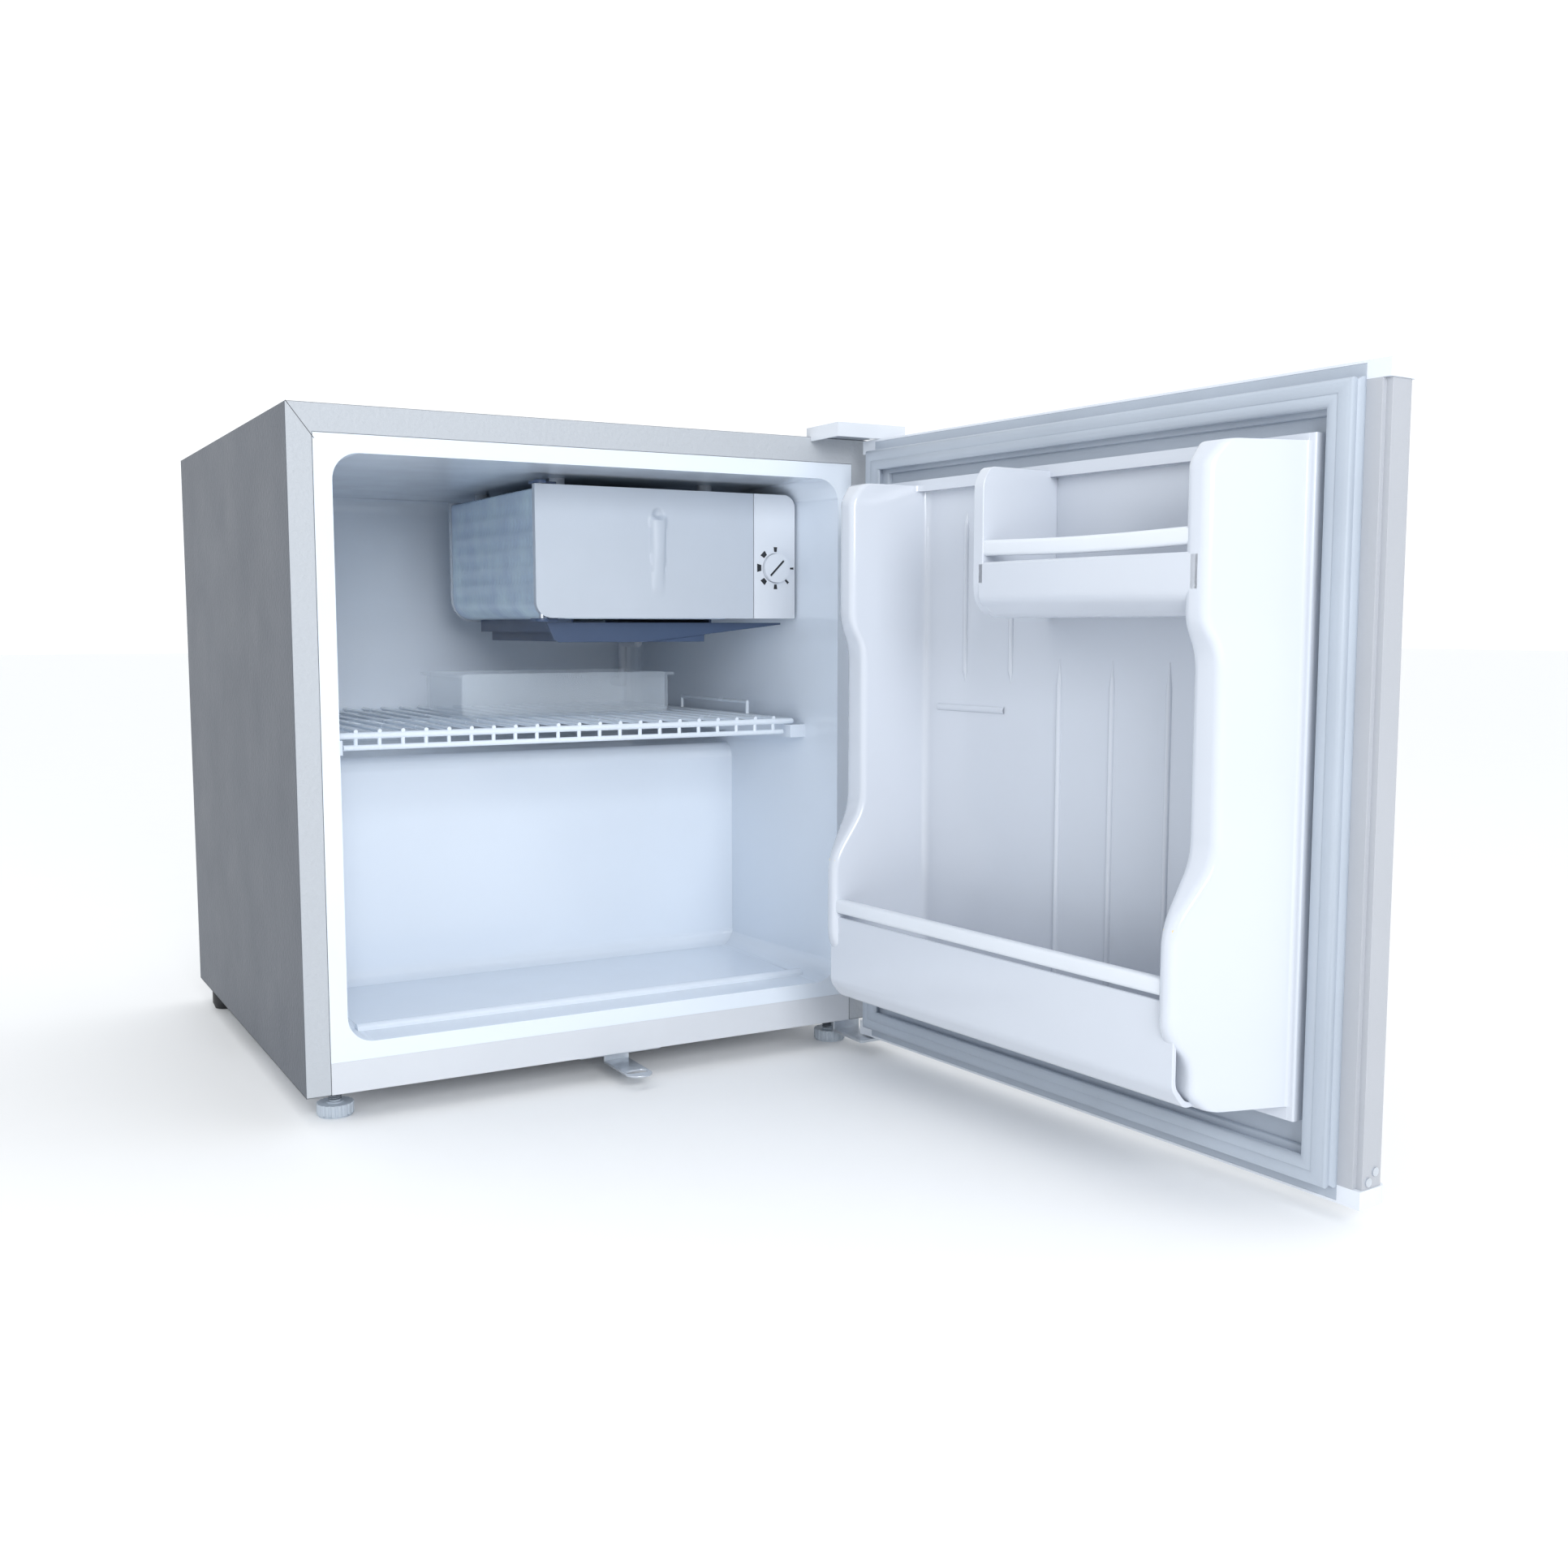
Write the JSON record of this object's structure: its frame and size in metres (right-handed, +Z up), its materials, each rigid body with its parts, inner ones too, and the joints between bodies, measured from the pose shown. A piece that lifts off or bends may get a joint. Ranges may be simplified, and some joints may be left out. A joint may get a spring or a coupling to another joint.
{
  "type": "mini fridge",
  "caption": "Compact cube refrigerator with an open hinged door, freezer box with flap, wire shelf, door racks and levelling feet.",
  "frame": {"origin": "centre of the footprint of the whole object in its stored pose, door open, on the floor under the feet", "axes": "+X to the cabinet's right as seen from the front, +Y to its back, +Z up"},
  "size_m": [0.4855, 0.901, 0.487],
  "materials": {
    "cabinet_steel": "fine textured paint",
    "door_steel": "painted",
    "galvanised": "galvanised sheet",
    "foam": "rigid insulating foam",
    "liner": "smooth moulded",
    "door_liner": "smooth moulded",
    "white_plastic": "smooth moulded",
    "satin_plastic": "satin moulded",
    "evaporator_metal": "embossed sheet",
    "zinc": "zinc plated",
    "copper": "drawn copper tube",
    "black_paint": "semi-gloss",
    "black_plastic": "moulded",
    "rubber": "moulded",
    "gasket": "soft extruded",
    "coated_wire": "plastic dipped",
    "clear_plastic": "clear moulded",
    "blue_tray": "satin moulded",
    "foot_plastic": "moulded"
  },
  "bodies": {
    "cabinet": {"cabinet_wrap": "cabinet_steel", "bottom_panel": "cabinet_steel", "rear_panel": "galvanised", "base_rail": "galvanised", "cabinet_foam": "foam", "inner_liner": "liner", "condenser_coil": "copper", "evaporator": "evaporator_metal", "freezer_back_plate": "satin_plastic", "freezer_frame": "blue_tray", "evaporator_hangers": "white_plastic", "evaporator_screws": "zinc", "thermostat_housing": "satin_plastic", "thermostat_body": "zinc", "sensing_tube": "copper", "refrigerant_line": "white_plastic", "drip_tray_rails": "blue_tray", "compressor_shell": "black_paint", "compressor_feet": "black_paint", "compressor_grommets": "rubber", "compressor_studs": "zinc", "terminal_cover": "black_plastic", "compressor_pipes": "copper", "filter_drier": "copper", "cord_gland": "black_plastic", "strike_plate": "zinc", "strike_screws": "zinc", "upper_hinge_bracket": "zinc", "upper_hinge_pin": "zinc", "upper_hinge_screws": "zinc", "upper_hinge_cover": "white_plastic", "lower_hinge_bracket": "zinc", "lower_hinge_pin": "zinc", "lower_hinge_screws": "zinc", "hinge_washer": "satin_plastic", "foot_nuts": "zinc", "rear_feet": "black_plastic"},
    "door": {"door_skin": "door_steel", "door_top_cap": "white_plastic", "door_bottom_cap": "white_plastic", "door_foam": "foam", "door_liner": "door_liner", "door_gasket": "gasket", "pocket_rail": "white_plastic", "bottle_rail": "white_plastic", "hinge_bushes": "satin_plastic", "cap_screws": "zinc", "lock_housing": "zinc"},
    "knob": {"thermostat_knob": "satin_plastic"},
    "flap": {"freezer_flap": "satin_plastic", "flap_pins": "zinc"},
    "shelf": {"wire_shelf": "coated_wire", "shelf_stop": "coated_wire"},
    "clear_tray": {"clear_tray": "clear_plastic"},
    "drip_tray": {"drip_tray": "blue_tray"},
    "foot_left": {"foot_left": "foot_plastic"},
    "foot_right": {"foot_right": "foot_plastic"},
    "lock_barrel": {"lock_barrel": "zinc"},
    "lock_bolt": {"lock_bolt": "zinc"}
  },
  "joints": [
    {"name": "door_hinge", "type": "hinge", "parent": "cabinet", "child": "door", "pos_m": [0.20024, -0.00254, 0.22], "axis": [0, 0, 1], "range_deg": [-94.6, 35.4]},
    {"name": "thermostat_turn", "type": "hinge", "parent": "cabinet", "child": "knob", "pos_m": [0.15324, 0.08846, 0.3824], "axis": [0, 1, 0], "range_deg": [0, 300]},
    {"name": "freezer_flap_hinge", "type": "hinge", "parent": "cabinet", "child": "flap", "pos_m": [-0.04576, 0.09146, 0.392], "axis": [0, 0, -1], "range_deg": [0, 100]},
    {"name": "shelf_slide", "type": "slide", "parent": "cabinet", "child": "shelf", "axis": [0, -1, 0], "range_m": [0, 0.1]},
    {"name": "clear_tray_slide", "type": "slide", "parent": "shelf", "child": "clear_tray", "axis": [0, -1, 0], "range_m": [0, 0.09]},
    {"name": "drip_tray_slide", "type": "slide", "parent": "cabinet", "child": "drip_tray", "axis": [0, -1, 0], "range_m": [0, 0.14]},
    {"name": "foot_left_turn", "type": "hinge", "parent": "cabinet", "child": "foot_left", "pos_m": [-0.21876, 0.04846, 0.01], "axis": [0, 0, 1], "range_deg": [0, 720]},
    {"name": "foot_right_turn", "type": "hinge", "parent": "cabinet", "child": "foot_right", "pos_m": [0.18124, 0.04846, 0.01], "axis": [0, 0, 1], "range_deg": [0, 720]},
    {"name": "lock_turn", "type": "hinge", "parent": "door", "child": "lock_barrel", "pos_m": [0.21824, -0.21378, 0.04], "axis": [-0.9968, -0.0802, 0], "range_deg": [0, 90]},
    {"name": "lock_bolt_slide", "type": "slide", "parent": "door", "child": "lock_bolt", "axis": [0, 0, -1], "range_m": [0, 0.009]}
  ],
  "couplings": [
    {"joint": "lock_bolt_slide", "follows": "lock_turn", "m_per_rad": 0.005729}
  ]
}
